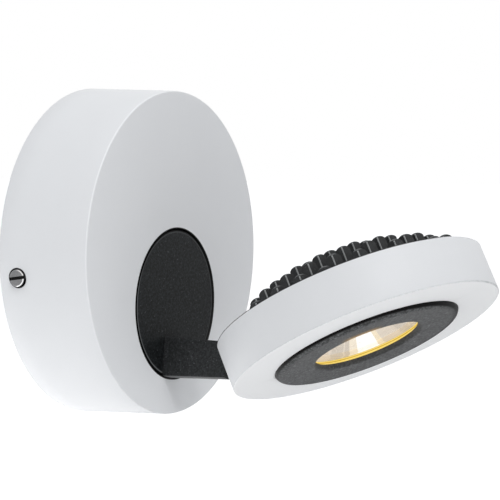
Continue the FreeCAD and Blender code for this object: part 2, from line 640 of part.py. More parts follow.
def heat_sink():
    y = RING_LEN
    base = ring_of([(0, SINK_BASE_FRONT), (SINK_R - SINK_SKIRT_T, SINK_BASE_FRONT), (SINK_R - SINK_SKIRT_T, SINK_FRONT),
                    (SINK_R, SINK_FRONT), (SINK_R, y), (FLANGE_R, y), (FLANGE_R, y + FLANGE_T),
                    (0, y + FLANGE_T)])
    block = box(-EAR_HALF, EAR_HALF, EAR_FRONT, y + FLANGE_T / 2, -SINK_R, SINK_SKIRT_T - POCKET_WALL_AT)
    block = block.common(cyl(SINK_R, EAR_FRONT, y + 1))
    s = base.fuse(block)
    s = s.cut(box(-EAR_INNER, EAR_INNER, NOTCH_FLOOR, y + RING_LEN, -RING_R, -POCKET_WALL_AT))
    pin = Part.makeCylinder(PIN_R, PIN_DRILL_L, V(-PIN_DRILL_L / 2, PIVOT_BACK, -PIVOT_AT), V(1, 0, 0))
    s = s.cut(pin)
    for side in (-1, 1):
        s = s.cut(Part.makeCylinder(PIN_CLEAR_R, SEAT_DRILL_L, V(side * PIN_SEAT, PIVOT_BACK, -PIVOT_AT), V(side, 0, 0)))
    for a in RING_SCREW_ANGLES:
        x, z = polar(RING_SCREW_AT, a)
        s = s.cut(cyl(RING_BOSS_R + 0.2, SINK_FRONT - 1, SINK_BASE_FRONT, x, z))
        s = s.cut(cyl(RING_SCREW_R, 0, y + 10, x, z))
    for side in (-1, 1):
        s = s.cut(cyl(HOLDER_SCREW_R, 0, SINK_BASE_FRONT + HOLDER_BITE, side * HOLDER_SCREW_AT, 0))
    s = s.cut(cyl(LEAD_HOLE_R, 0, y + RING_LEN, 0, -LEAD_AT))
    s = s.removeSplitter()
    todo = posts()
    for k in range(0, len(todo), POST_BATCH):
        s = s.fuse(todo[k:k + POST_BATCH])
    return s


def pivot_pin():
    reach = PIN_SEAT + PIN_NUT_T + 1.0
    p = slotted_screw(PIN_THREAD_R, PIN_SEAT + reach, PIN_HEAD_R, PIN_HEAD_T, 1.0, 1.2)
    p = p.fuse(cyl(PIN_R, 0, 2 * PIN_SEAT))
    p = turned(p.removeSplitter(), V(0, 0, 1), -90)
    return moved(p, -PIN_SEAT, PIVOT_BACK, -PIVOT_AT)


def pivot_nut():
    n = hexagon(PIN_NUT_ACROSS, 0, PIN_NUT_T).cut(cyl(PIN_THREAD_R, -1, PIN_NUT_T + 1))
    n = turned(n, V(0, 0, 1), -90)
    return moved(n, PIN_SEAT, PIVOT_BACK, -PIVOT_AT)


def friction_washer(side):
    w = tube(FRICTION_R, PIN_R, 0, FRICTION_T)
    w = turned(w, V(0, 0, 1), -90)
    x = EAR_INNER - FRICTION_T if side > 0 else -EAR_INNER
    return moved(w, x, PIVOT_BACK, -PIVOT_AT)


def bezel():
    y = -BEZEL_PROUD
    sh = BEZEL_SHOULDER
    lip = BEZEL_LIP
    seat = GLASS_FRONT + GLASS_T + GASKET_T
    outer = arc_points(BEZEL_R - sh, y + sh, sh, 0, -90, 6)
    inner = arc_points(APERTURE_R + lip, GLASS_FRONT, lip, -90, -180, 6)
    pts = [(BEZEL_R, BEZEL_SKIRT_BACK)] + outer + inner
    pts += [(GLASS_R + 0.2, GLASS_FRONT), (GLASS_R + 0.2, seat), (GLASS_R + 2.2, seat),
            (GLASS_R + 2.2, 1.2), (BEZEL_R - BEZEL_SKIRT_T, 1.2), (BEZEL_R - BEZEL_SKIRT_T, BEZEL_SKIRT_BACK)]
    return ring_of(pts)


def cover_glass():
    return cyl(GLASS_R, GLASS_FRONT, GLASS_FRONT + GLASS_T)


def glass_gasket():
    y = GLASS_FRONT + GLASS_T
    return tube(GLASS_R, GASKET_IN_R, y, y + GASKET_T)


REFL_Y = GLASS_FRONT + GLASS_T + GASKET_T
HOLDER_Y = SINK_BASE_FRONT - BOARD_T - HOLDER_T


def polygon_wire(r, y):
    pts = [V(r * math.cos(2 * math.pi * (k + 0.5) / REFL_SIDES), y,
             r * math.sin(2 * math.pi * (k + 0.5) / REFL_SIDES)) for k in range(REFL_SIDES + 1)]
    return Part.makePolygon(pts)


def reflector():
    mid_r = REFL_END_R + 0.66 * (REFL_MOUTH_R - REFL_END_R)
    mid_y = REFL_Y + 0.42 * (HOLDER_Y - REFL_Y)
    sections = [(REFL_MOUTH_R, REFL_Y), (mid_r, mid_y), (REFL_END_R, HOLDER_Y)]
    outside = fuse([Part.makeLoft([polygon_wire(a[0] + REFL_T, a[1]), polygon_wire(b[0] + REFL_T, b[1])],
                                  True, True) for a, b in zip(sections, sections[1:])])
    inside = fuse([Part.makeLoft([polygon_wire(a[0], a[1]), polygon_wire(b[0], b[1])], True, True)
                   for a, b in zip(sections, sections[1:])])
    flange = cyl(GLASS_R + 2.2, REFL_Y, REFL_Y + REFL_T)
    r = outside.fuse(flange).cut(inside)
    return r.removeSplitter()


def led_holder():
    h = tube(HOLDER_R, REFL_END_R, HOLDER_Y, HOLDER_Y + HOLDER_T)
    for side in (-1, 1):
        x = side * HOLDER_SCREW_AT
        h = h.cut(cyl(HOLDER_SCREW_R, HOLDER_Y - 1, HOLDER_Y + HOLDER_T + 1, x, 0))
        h = h.cut(cyl(2.3, HOLDER_Y - 1, HOLDER_Y + 1.6, x, 0))
    return h


def led_board():
    y = SINK_BASE_FRONT - BOARD_T
    b = cyl(BOARD_R, y, y + BOARD_T)
    for side in (-1, 1):
        b = b.cut(cyl(HOLDER_SCREW_R, y - 1, y + BOARD_T + 1, side * HOLDER_SCREW_AT, 0))
    return b


def led_emitter():
    y = SINK_BASE_FRONT - BOARD_T
    e = ring_of([(0, y - EMITTER_T), (EMITTER_R - 0.4, y - EMITTER_T), (EMITTER_R, y - EMITTER_T + 0.4),
                 (EMITTER_R, y), (0, y)])
    return e


def holder_screw(side):
    s = slotted_screw(HOLDER_SCREW_R, HOLDER_SCREW_L - 2.0, 2.1, 1.5, 0.6, 0.8, 0.3)
    return moved(s, side * HOLDER_SCREW_AT, HOLDER_Y + 1.6, 0)


def ring_screw(angle):
    x, z = polar(RING_SCREW_AT, angle)
    s = socket_screw(RING_SCREW_R, 9.5, RING_SCREW_HEAD_R, RING_SCREW_HEAD_T, 2.5)
    return moved(s, x, RING_LEN + FLANGE_T, z)


def lead_grommet():
    y = RING_LEN + FLANGE_T
    g = ring_of([(1.3, SINK_BASE_FRONT), (LEAD_HOLE_R, SINK_BASE_FRONT), (LEAD_HOLE_R, y + 1.0), (1.3, y + 1.0)])
    return moved(g, 0, 0, -LEAD_AT)


def led_lead():
    z = -LEAD_AT
    y = SINK_BASE_FRONT - 1.3
    return wire([(0, RING_LEN + FLANGE_T + 4.0, z), (0, y, z), (0, y, -BOARD_R)], LEAD_R)


def on_turntable(shape):
    s = shape.copy()
    s.rotate(V(0, 0, 0), V(0, 1, 0), TURN_REST)
    s.translate(V(0, 0, -HUB_DROP))
    return s


def on_head(shape):
    s = shape.copy()
    s.rotate(V(0, PIVOT_BACK, -PIVOT_AT), V(1, 0, 0), TILT_REST)
    s.translate(V(0, -CANOPY_DEPTH - PIVOT_OUT - PIVOT_BACK, -PIVOT_DOWN + PIVOT_AT))
    return on_turntable(s)


WALL_NODES = {
    "wall_bracket": wall_bracket(),
    "canopy_shell": canopy_shell(),
    "canopy_screw_left": side_screw(-1),
    "canopy_screw_right": side_screw(1),
    "cable_grommet": cable_grommet(),
    "terminal_block": terminal_block(),
    "terminal_screw_live": terminal_screw(-1),
    "terminal_screw_middle": terminal_screw(0),
    "terminal_screw_neutral": terminal_screw(1),
    "earth_screw": earth_screw(),
    "earth_washer": earth_washer(),
    "led_driver": led_driver(),
    "driver_screw_left": driver_screw(-1),
    "driver_screw_right": driver_screw(1),
    "mains_lead": mains_lead(),
    "driver_lead": driver_lead(),
    "stop_pin": stop_pin(),
}

TURNTABLE_NODES = {
    "turntable_disc": turntable_disc(),
    "hub_nipple": hub_nipple(),
    "glide_washer": glide_washer(),
    "stop_washer": stop_washer(),
    "wave_washer": wave_washer(),
    "hub_nut": hub_nut(),
    "arm_bar": arm_bar(),
    "arm_screw_left": arm_screw(-1),
    "arm_screw_right": arm_screw(1),
    "arm_lead": arm_lead(),
}

HEAD_NODES = {
    "head_ring": head_ring(),
    "heat_sink": heat_sink(),
    "ring_screw_top": ring_screw(RING_SCREW_ANGLES[0]),
    "ring_screw_left": ring_screw(RING_SCREW_ANGLES[1]),
    "ring_screw_right": ring_screw(RING_SCREW_ANGLES[2]),
    "pivot_pin": pivot_pin(),
    "pivot_nut": pivot_nut(),
    "friction_washer_left": friction_washer(-1),
    "friction_washer_right": friction_washer(1),
    "bezel": bezel(),
    "cover_glass": cover_glass(),
    "glass_gasket": glass_gasket(),
    "reflector": reflector(),
    "led_holder": led_holder(),
    "led_board": led_board(),
    "led_emitter": led_emitter(),
    "holder_screw_left": holder_screw(-1),
    "holder_screw_right": holder_screw(1),
    "lead_grommet": lead_grommet(),
    "led_lead": led_lead(),
}

os.makedirs("parts", exist_ok=True)
placed = dict(WALL_NODES)
placed.update({name: on_turntable(s) for name, s in TURNTABLE_NODES.items()})
placed.update({name: on_head(s) for name, s in HEAD_NODES.items()})
for name, shape in placed.items():
    solids = shape.Solids
    print(name, len(solids), shape.isValid(), round(shape.Volume, 1), shape.BoundBox)
    shape.exportStep("parts/" + name + ".step")
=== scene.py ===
# Pivoting spotlight wall light: finishes, soft edges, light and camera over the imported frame.
# Metres. Origin: centre of the canopy's back on the wall. +Y into the wall, +Z up.
import bmesh
import bpy
import json
import math
from mathutils import Matrix, Vector


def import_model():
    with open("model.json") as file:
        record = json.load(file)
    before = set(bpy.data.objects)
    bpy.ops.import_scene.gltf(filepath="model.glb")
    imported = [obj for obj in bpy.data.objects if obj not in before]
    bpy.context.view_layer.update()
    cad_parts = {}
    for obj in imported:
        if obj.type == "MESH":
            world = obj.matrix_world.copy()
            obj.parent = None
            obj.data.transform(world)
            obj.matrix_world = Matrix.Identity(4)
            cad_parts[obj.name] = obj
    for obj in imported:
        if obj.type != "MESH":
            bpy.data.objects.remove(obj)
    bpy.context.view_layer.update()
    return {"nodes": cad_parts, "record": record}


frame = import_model()
nodes = frame["nodes"]
MM = 0.001

# sizes and places of the imported part that the finishes follow. The pocket is the round recess
# that holds the turntable's disc, and the painted shade in it ends POCKET_REACH behind the canopy's
# face.
CANOPY_R = 60.0 * MM
CANOPY_FRONT = -36.0 * MM
DISC_DROP = 19.0 * MM
DISC_R = 27.65 * MM
POCKET_R = 28.1 * MM
POCKET_REACH = 10.0 * MM
SIDE_SCREW_BACK = 7.4 * MM
SIDE_SCREW_DROP = 6.8 * MM

# the same for the head, measured from the middle of its ring's face
RING_R = 50.0 * MM
RING_LEN = 17.0 * MM
SHOULDER_R = 31.45 * MM
APERTURE_R = 19.3 * MM
GLASS_R = 21.0 * MM

# the heat sink's posts: tapered squares on a turned square lattice, cut off by a dome
POST_FOOT = 17.3 * MM
POST_TIP = 33.6 * MM
POST_HALF = 2.1 * MM
POST_DRAFT = 0.0283
POST_PITCH = 9.5 * MM
POST_SHIFT_X = 4.3 * MM
POST_SHIFT_Z = -3.36 * MM
LATTICE_TURN = math.radians(2.8)
POST_TURN = math.radians(19.7)
POSTS_REACH = 47.958 * MM
DOME_R = 80.705 * MM
CROWN_CURVE = 80.0

# the side of the bezel's lip that the lamp lights, as a direction in its face
GLOW_X = -0.934
GLOW_Z = 0.358

# how the turntable and the head are turned in the picture
DISC_TURN = math.radians(8.0)
HEAD_AHEAD = 85.0 * MM
HEAD_RISE = 24.3 * MM
HEAD_TILT = math.radians(62.7)
PIVOT = Vector((0, 13.5, -42.5)) * MM
TURN = Matrix.Translation((0, 0, -DISC_DROP)) @ Matrix.Rotation(DISC_TURN, 4, "Y")
HEAD = (TURN @ Matrix.Translation((0, -HEAD_AHEAD, HEAD_RISE)) @ Matrix.Translation(PIVOT)
        @ Matrix.Rotation(HEAD_TILT, 4, "X") @ Matrix.Translation(-PIVOT))

BLACK = (0.0, 0.0, 0.0)


# ---------- finishes ----------

class Value:
    """One socket of a finish, used in sums like a number."""

    def __init__(self, finish, socket):
        self.finish = finish
        self.socket = socket

    def join(self, kind, other, swapped=False):
        first, second = (other, self) if swapped else (self, other)
        return self.finish.node("ShaderNodeMath", {"operation": kind}, {0: first, 1: second})

    def __add__(self, other):
        return self.join("ADD", other)

    def __radd__(self, other):
        return self.join("ADD", other, True)

    def __sub__(self, other):
        return self.join("SUBTRACT", other)

    def __rsub__(self, other):
        return self.join("SUBTRACT", other, True)

    def __mul__(self, other):
        return self.join("MULTIPLY", other)

    def __rmul__(self, other):
        return self.join("MULTIPLY", other, True)

    def __truediv__(self, other):
        return self.join("DIVIDE", other)

    def __pow__(self, other):
        return self.join("POWER", other)

    def __mod__(self, other):
        return self.join("FLOORED_MODULO", other)

    def __neg__(self):
        return self.join("MULTIPLY", -1.0)

    def __abs__(self):
        return self.finish.node("ShaderNodeMath", {"operation": "ABSOLUTE"}, {0: self})

    def sine(self):
        return self.finish.node("ShaderNodeMath", {"operation": "SINE"}, {0: self})

    def most(self, other):
        return self.join("MAXIMUM", other)

    def least(self, other):
        return self.join("MINIMUM", other)

    def rise(self, low, high):
        """0 below low, 1 above high, smooth between. It falls where low is above high."""
        return self.finish.node("ShaderNodeMapRange", {"interpolation_type": "SMOOTHSTEP"},
                                {"Value": self, "From Min": low, "From Max": high})


class Finish:
    """A material built from sums of values."""

    def __init__(self, name):
        self.material = bpy.data.materials.new(name)
        self.material.use_nodes = True
        self.tree = self.material.node_tree
        self.tree.nodes.clear()

    def feed(self, socket, value):
        if isinstance(value, Value):
            self.tree.links.new(value.socket, socket)
        else:
            socket.default_value = value

    def node(self, kind, settings=None, values=None, out=0):
        made = self.tree.nodes.new(kind)
        for key, setting in (settings or {}).items():
            setattr(made, key, setting)
        for key, value in (values or {}).items():
            self.feed(made.inputs[key], value)
        return Value(self, made.outputs[out])

    def facing(self):
        """The way the surface faces, in the part's frame."""
        return self.axes(self.node("ShaderNodeTexCoord", out="Normal"))

    def place(self, frame_of=None):
        """Where the point lies, in metres, in the part's frame or in a turned piece's own."""
        here = self.node("ShaderNodeTexCoord", out="Object")
        if frame_of is None:
            return here
        back = frame_of.inverted()
        return self.node("ShaderNodeMapping", {"vector_type": "POINT"},
                         {"Vector": here, "Location": back.to_translation(),
                          "Rotation": back.to_euler()})

    def axes(self, place):
        """The three coordinates of a point or a direction."""
        split = self.tree.nodes.new("ShaderNodeSeparateXYZ")
        self.feed(split.inputs[0], place)
        return [Value(self, out) for out in split.outputs]

    def noise(self, place, scale, detail=2.0, rough=0.5):
        return self.node("ShaderNodeTexNoise", None,
                         {"Vector": place, "Scale": scale, "Detail": detail, "Roughness": rough})

    def cells(self, place, scale):
        return self.node("ShaderNodeTexVoronoi", None, {"Vector": place, "Scale": scale})

    def blend(self, share, low, high):
        """The first colour where share is 0, the second where it is 1."""
        first, second = ((*tone, 1) if isinstance(tone, tuple) else tone for tone in (low, high))
        return self.node("ShaderNodeMix", {"data_type": "RGBA"}, {0: share, 6: first, 7: second}, 2)

    def bump(self, height, depth, strength):
        return self.node("ShaderNodeBump", None,
                         {"Strength": strength, "Distance": depth, "Height": height})

    def done(self, **surface):
        names = {"colour": "Base Color", "rough": "Roughness", "metal": "Metallic",
                 "normal": "Normal", "shine": "Specular IOR Level", "alpha": "Alpha",
                 "glow": "Emission Color", "glow_strength": "Emission Strength",
                 "inside": "Subsurface Weight", "inside_scale": "Subsurface Scale"}
        values = {}
        for key, value in surface.items():
            if key in ("colour", "glow") and isinstance(value, tuple):
                value = (*value, 1)
            values[names[key]] = value
        shader = self.node("ShaderNodeBsdfPrincipled", None, values)
        self.node_out(shader)
        return self.material

    def node_out(self, shader):
        end = self.tree.nodes.new("ShaderNodeOutputMaterial")
        self.tree.links.new(shader.socket, end.inputs["Surface"])


def reach(across, along):
    """How far a point lies from an axis, from its two offsets."""
    return (across * across + along * along) ** 0.5


def white_coat(name, place, detail):
    f = Finish(name)
    p = f.place(place)
    cloud = f.noise(p, 45.0, 3.0)
    peel = f.noise(p, 1400.0, 2.0, 0.6)
    fleck = f.noise(p, 3200.0, 1.0).rise(0.70, 0.76)
    colour = f.blend(cloud, (0.80, 0.81, 0.825), (0.835, 0.845, 0.86))
    colour = f.blend(fleck * 0.35, colour, (0.70, 0.71, 0.73))
    colour = detail(f, p, colour)
    return f.done(colour=colour, rough=0.40 + 0.12 * cloud, shine=0.4,
                  normal=f.bump(peel, 0.02 * MM, 0.5))


def ring_edge(f, place, colour):
    """Painted shade and light: a lit face, a shaded side, shade with worn specks on the corner, a
    shaded back edge.
    """
    x, y, z = f.axes(place)
    out = reach(x, z)
    # painted shade and light: the side is a darker copy of the coat and the face a lighter one
    shaded_side = f.blend(0.105, colour, BLACK)
    colour = f.blend(y.rise(0.3 * MM, 0.1 * MM), shaded_side, (0.97, 0.975, 0.98))
    speck = f.noise(place, 1700.0, 2.0, 0.7).rise(0.44, 0.60)
    # painted shade on the rounded corner with worn specks in it, stronger towards +x
    corner = out.rise(RING_R - 0.5 * MM, RING_R - 0.38 * MM) * y.rise(0.5 * MM, 0.38 * MM)
    painted_light_share = 0.35 + 0.65 * x.rise(-RING_R / 2, 10.0 * MM)
    colour = f.blend(corner * painted_light_share * (0.25 + 0.55 * speck), colour, (0.40, 0.41, 0.42))
    # painted shade: a near-black line along the back edge on the -x side
    back = y.rise(RING_LEN - 0.28 * MM, RING_LEN - 0.16 * MM) * x.rise(-12.0 * MM, -26.0 * MM)
    return f.blend(back, colour, (0.01, 0.01, 0.01))


def canopy_edge(f, place, colour):
    """A painted highlight on the front corner, with painted shade in the pocket and the side
    screws' recesses.
    """
    x, y, z = f.axes(place)
    out = reach(x, z)
    pocket = reach(x, z + DISC_DROP)
    pocket_end = CANOPY_FRONT + POCKET_REACH
    # painted shade: the pocket's walls and a thin ring of the face round it are near black
    inside = (pocket.rise(POCKET_R + 0.32 * MM, POCKET_R + 0.22 * MM)
              * y.rise(pocket_end, pocket_end - 0.2 * MM))
    # painted shade in the recesses round the side screws
    recess_shade = reach(y + SIDE_SCREW_BACK, z + SIDE_SCREW_DROP).rise(3.70 * MM, 3.58 * MM)
    colour = f.blend(inside.most(recess_shade), colour, (0.012, 0.012, 0.012))
    # painted highlight along the canopy's front corner
    corner = (out.rise(CANOPY_R - 0.5 * MM, CANOPY_R - 0.2 * MM)
              * y.rise(CANOPY_FRONT + 0.6 * MM, CANOPY_FRONT + 0.2 * MM))
    return f.blend(corner * 0.35, colour, (0.95, 0.95, 0.96))


def anthracite(name, base, speck, grain, rough, shine, place=None, detail=None, spread=0.5):
    """A dark, finely grained coat. What detail adds or changes comes on top."""
    f = Finish(name)
    p = f.place(place)
    cloud = f.noise(p, 60.0, 3.0)
    grit = f.noise(p, grain, 2.0, 0.65)
    fleck = f.noise(p, grain * 0.9, 1.0).rise(0.64, 0.74)
    mottle = cloud * 0.15 + grit.rise(0.38, 0.62) * 0.85
    darker = tuple(part * (1.0 - spread) for part in base)
    lighter = tuple(part * (1.0 + spread) for part in base)
    colour = f.blend(mottle, darker, lighter)
    colour = f.blend(fleck * 0.7, colour, speck)
    extra = {}
    if detail is not None:
        colour, extra = detail(f, p, colour)
    return f.done(colour=colour, rough=rough + 0.16 * (grit - 0.5), shine=shine,
                  normal=f.bump(grit, 0.05 * MM, 0.6), **extra)


def arm_underside_light(f, place, colour):
    """The arm's lower face is painted a shade paler than its sides, as painted light from below."""
    up = f.facing()[2]
    return f.blend(up.rise(-0.80, -0.95), colour, (0.125, 0.127, 0.128)), {}


def disc_rim(f, place, colour):
    """A painted highlight line round the disc's face, lighter to the lower left, with painted shade
    on the chamfer.
    """
    x, y, z = f.axes(place)
    out = reach(x, z + DISC_DROP)
    # painted highlight: the line is lighter towards the lower left, where the light falls
    painted_light_share = 0.3 + 0.7 * (-x - z - DISC_DROP).rise(5.0 * MM, 24.0 * MM)
    line = out.rise(DISC_R - 1.32 * MM, DISC_R - 1.20 * MM) * painted_light_share
    colour = f.blend(line, colour, (0.11, 0.115, 0.118))
    # painted shade on the chamfer, near black and metallic so that it reflects almost nothing
    edge = out.rise(DISC_R - 0.80 * MM, DISC_R - 0.70 * MM)
    return f.blend(edge, colour, (0.001, 0.001, 0.001)), {"metal": edge * 0.9}


def post_painted_light(f, place, colour):
    """Painted light on each of the heat sink's tapered posts: a highlight on one upright corner and
    a paler crown.
    """
    x, y, z = f.axes(place)
    across = x * math.cos(LATTICE_TURN) + z * math.sin(LATTICE_TURN)
    along = z * math.cos(LATTICE_TURN) - x * math.sin(LATTICE_TURN)
    off_x = (across - POST_SHIFT_X + POST_PITCH / 2) % POST_PITCH - POST_PITCH / 2
    off_z = (along - POST_SHIFT_Z + POST_PITCH / 2) % POST_PITCH - POST_PITCH / 2
    u = off_x * math.cos(POST_TURN) + off_z * math.sin(POST_TURN)
    v = off_z * math.cos(POST_TURN) - off_x * math.sin(POST_TURN)
    half = POST_HALF - (y - POST_FOOT) * POST_DRAFT
    raised = y.rise(POST_FOOT + 0.2 * MM, POST_FOOT + 0.7 * MM)
    # painted highlight along the one upright corner that faces the light
    corner = (v.least(-u) - half).rise(-0.42 * MM, -0.28 * MM)
    from_middle = (across - off_x) ** 2.0 + (along - off_z) ** 2.0
    fall = (DOME_R * DOME_R - from_middle.least(POSTS_REACH * POSTS_REACH)) ** 0.5 - DOME_R
    # painted light: the crowns are paler where they face up towards the light
    crown = (fall + POST_TIP - y + (u * u + v * v) * CROWN_CURVE).rise(1.45 * MM, 0.65 * MM)
    colour = f.blend(raised * crown * 0.9, colour, (0.060, 0.065, 0.068))
    return f.blend(raised * corner * (1.0 - crown), colour, (0.30, 0.31, 0.31)), {}


def bezel_shade(f, place, colour):
    """Painted black shade on the rounded shoulder, a dull inner lip, and painted warm light from
    the lamp on the lip.
    """
    x, y, z = f.axes(place)
    out = reach(x, z)
    pits = f.noise(place, 1150.0, 2.0, 0.7)
    # painted shade: the shoulder's near-black band, metallic so that it reflects almost nothing,
    # narrower towards -x
    shoulder = ((out + (pits - 0.5) * 0.9 * MM).rise(SHOULDER_R, SHOULDER_R + 0.35 * MM)
                * (y + x * 0.02).rise(-1.9 * MM, -1.25 * MM))
    lip = out.rise(APERTURE_R + 1.9 * MM, APERTURE_R + 0.3 * MM)
    pale = f.noise(place, 1100.0, 1.0).rise(0.60, 0.72)
    colour = f.blend(pits.rise(0.45, 0.34) * 0.8, colour, (0.014, 0.015, 0.016))
    colour = f.blend(pale * 0.5, colour, (0.16, 0.165, 0.17))
    colour = f.blend(shoulder, colour, (0.002, 0.002, 0.002))
    colour = f.blend(lip * 0.6, colour, (0.020, 0.019, 0.017))
    lit = (out.rise(APERTURE_R + 6.7 * MM, APERTURE_R + 1.5 * MM)
           * (x * GLOW_X + z * GLOW_Z).rise(out * 0.93, out * 0.99))
    glow = f.blend(lit, BLACK, (0.24, 0.125, 0.008))
    return colour, {"metal": shoulder * 0.8, "glow": glow, "glow_strength": 1.0}


def steel(name, light, dark, rough, yellow=0.0):
    """Plated metal in patches, with a yellow tinge where it is zinc passivated."""
    f = Finish(name)
    p = f.place()
    patch = f.cells(p, 420.0)
    streak = f.noise(p, 900.0, 3.0, 0.6)
    colour = f.blend(patch.rise(0.0, 0.9), light, dark)
    if yellow:
        tinge = f.noise(p, 120.0).rise(0.45, 0.7)
        colour = f.blend(tinge * yellow, colour, (0.72, 0.62, 0.38))
    return f.done(colour=colour, metal=1.0, rough=rough + 0.18 * (streak - 0.5),
                  normal=f.bump(streak, 0.01 * MM, 0.4))


def turned_nickel():
    """The canopy's side screws: a turned grey face, painted highlights on the rim, and painted
    shade on the head's edge and in the slot.
    """
    f = Finish("turned_nickel")
    p = f.place()
    x, y, z = f.axes(p)
    back = y + SIDE_SCREW_BACK
    up = z + SIDE_SCREW_DROP
    out = reach(back, up)
    far = abs(x)
    ring = (out * 28000.0 + f.noise(p, 700.0) * 3.0).sine()
    scuff = f.noise(p, 1600.0, 3.0, 0.7)
    # painted shade: the slot's walls and floor are black and dull
    slot = (far.rise(61.15 * MM, 61.0 * MM) * far.rise(59.8 * MM, 59.9 * MM)
            * out.rise(3.05 * MM, 2.95 * MM))
    # painted shade round the head's edge
    wall = out.rise(2.98 * MM, 3.08 * MM)
    rim = out.rise(2.55 * MM, 2.68 * MM)
    # painted highlights on the rim, brightest on its lower front
    low_front = (-back - up + (scuff - 0.5) * 1.2 * MM).rise(2.4 * MM, 3.2 * MM)
    high_front = (-back + up + (scuff - 0.5) * 2.0 * MM).rise(2.8 * MM, 3.6 * MM)
    colour = f.blend(scuff, (0.19, 0.19, 0.195), (0.33, 0.33, 0.335))
    colour = f.blend(rim * low_front, colour, (0.95, 0.95, 0.95))
    colour = f.blend(rim * high_front * 0.6, colour, (0.80, 0.79, 0.78))
    colour = f.blend(wall, colour, (0.03, 0.03, 0.03))
    colour = f.blend(slot, colour, (0.004, 0.004, 0.004))
    return f.done(colour=colour, metal=1.0 - slot, rough=0.24 + 0.10 * scuff + 0.6 * slot,
                  normal=f.bump(ring, 0.008 * MM, 0.35))


def moulded(name, low, high, rough, grain=700.0, shine=0.5, inside=0.0):
    """Plain plastic or rubber. Inside is the share of light that goes below its surface."""
    f = Finish(name)
    p = f.place()
    cloud = f.noise(p, 90.0, 3.0)
    grit = f.noise(p, grain, 2.0)
    colour = f.blend(cloud, low, high)
    return f.done(colour=colour, rough=rough + 0.14 * (grit - 0.5), shine=shine, inside=inside,
                  inside_scale=0.6 * MM, normal=f.bump(grit, 0.02 * MM, 0.4))


def pressed_fibre():
    f = Finish("pressed_fibre")
    p = f.place()
    strands = f.node("ShaderNodeTexWave", {"wave_type": "BANDS", "bands_direction": "DIAGONAL"},
                     {"Vector": p, "Scale": 900.0, "Distortion": 9.0, "Detail": 3.0}, 1)
    colour = f.blend(strands, (0.055, 0.05, 0.045), (0.12, 0.11, 0.10))
    return f.done(colour=colour, rough=0.78, shine=0.25, normal=f.bump(strands, 0.03 * MM, 0.6))


def facet_light(f, p):
    """The lamp caught by the reflector's facets, in patches that repeat each quarter turn."""
    x, y, z = f.axes(p)
    angle = f.node("ShaderNodeMath", {"operation": "ARCTAN2"}, {0: z, 1: x})
    share = (angle / (math.pi / 2) + 4.125) % 1.0
    streak = f.noise(p, 350.0, 3.0, 0.6)
    glow = f.blend(share.rise(0.335, 0.35), (0.62, 0.53, 0.42), (0.50, 0.43, 0.34))
    glow = f.blend(abs(share - 0.55).rise(0.014, 0.008) * 0.5, glow, (0.76, 0.68, 0.55))
    glow = f.blend(share.rise(0.625, 0.64), glow, (0.80, 0.70, 0.54))
    glow = f.blend(share.rise(0.735, 0.745), glow, (1.0, 1.0, 0.97))
    glow = f.blend(share.rise(0.08, 0.07), glow, (0.80, 0.67, 0.45))
    return f.blend(streak.rise(0.5, 0.8) * 0.3, glow, (0.66, 0.58, 0.48)), streak


def clear_glass():
    """Clear in the middle, with the gold bands of the lit reflector caught in its edge."""
    f = Finish("clear_glass")
    p = f.place(HEAD)
    x, y, z = f.axes(p)
    smear = f.noise(p, 160.0, 3.0)
    edge = reach(x, z).rise(GLASS_R - 0.2 * MM, GLASS_R - 0.07 * MM)
    facets = facet_light(f, p)[0]
    band = abs(y - 1.48 * MM).rise(0.20 * MM, 0.06 * MM)
    gold = f.blend(y.rise(1.32 * MM, 1.22 * MM), (0.84, 0.54, 0.04), (0.94, 0.68, 0.12))
    gold = f.blend(band, gold, (0.54, 0.34, 0.0))
    gold = f.blend(y.rise(1.78 * MM, 1.84 * MM), gold, (0.94, 0.72, 0.17))
    gold = f.blend(y.rise(2.00 * MM, 2.05 * MM), gold, (0.50, 0.40, 0.13))
    gold = f.blend(y.rise(2.12 * MM, 2.18 * MM), gold, facets)
    colour = f.blend(edge, (0.93, 0.95, 0.94), (0.20, 0.14, 0.05))
    return f.done(colour=colour, rough=0.03 + 0.05 * smear, shine=0.5, alpha=0.05 + 0.95 * edge,
                  glow=f.blend(edge, BLACK, gold), glow_strength=0.9)


def silicone():
    f = Finish("amber_silicone")
    p = f.place(HEAD)
    cloud = f.noise(p, 300.0, 3.0)
    colour = f.blend(cloud, (0.20, 0.15, 0.08), (0.24, 0.18, 0.10))
    # painted light: the silicone glows with the lamp's light caught by the facets
    return f.done(colour=colour, rough=0.42 + 0.1 * cloud, glow=facet_light(f, p)[0],
                  glow_strength=0.85, normal=f.bump(cloud, 0.02 * MM, 0.4))


def bright_reflector():
    """Facets that take turns in catching the lamp, darker towards the glass."""
    f = Finish("bright_reflector")
    p = f.place(HEAD)
    y = f.axes(p)[1]
    facets, streak = facet_light(f, p)
    colour = f.blend(y.rise(5.0 * MM, 12.0 * MM), (0.30, 0.28, 0.26), (0.55, 0.50, 0.42))
    return f.done(colour=colour, metal=1.0, rough=0.20 + 0.12 * streak, glow=facets,
                  glow_strength=0.9, normal=f.bump(streak, 0.02 * MM, 0.3))


def phosphor():
    f = Finish("phosphor")
    p = f.place(HEAD)
    shade = f.cells(p, 900.0).rise(0.1, 0.8)
    colour = f.blend(shade, (0.98, 0.80, 0.34), (0.90, 0.66, 0.20))
    glow = f.blend(shade, (1.0, 0.93, 0.78), (1.0, 0.82, 0.55))
    return f.done(colour=colour, rough=0.35, glow=glow, glow_strength=2.2,
                  normal=f.bump(shade, 0.03 * MM, 0.5))


def solder_mask():
    f = Finish("solder_mask")
    p = f.place(HEAD)
    x, y, z = f.axes(p)
    rings = (reach(x, z) * 900.0 + f.noise(p, 60.0) * 0.6) % 1.0
    track = abs(rings - 0.5).rise(0.10, 0.16)
    colour = f.blend(track, (0.80, 0.80, 0.74), (0.90, 0.91, 0.88))
    return f.done(colour=colour, rough=0.35 + 0.1 * track, normal=f.bump(track, 0.03 * MM, 0.5))


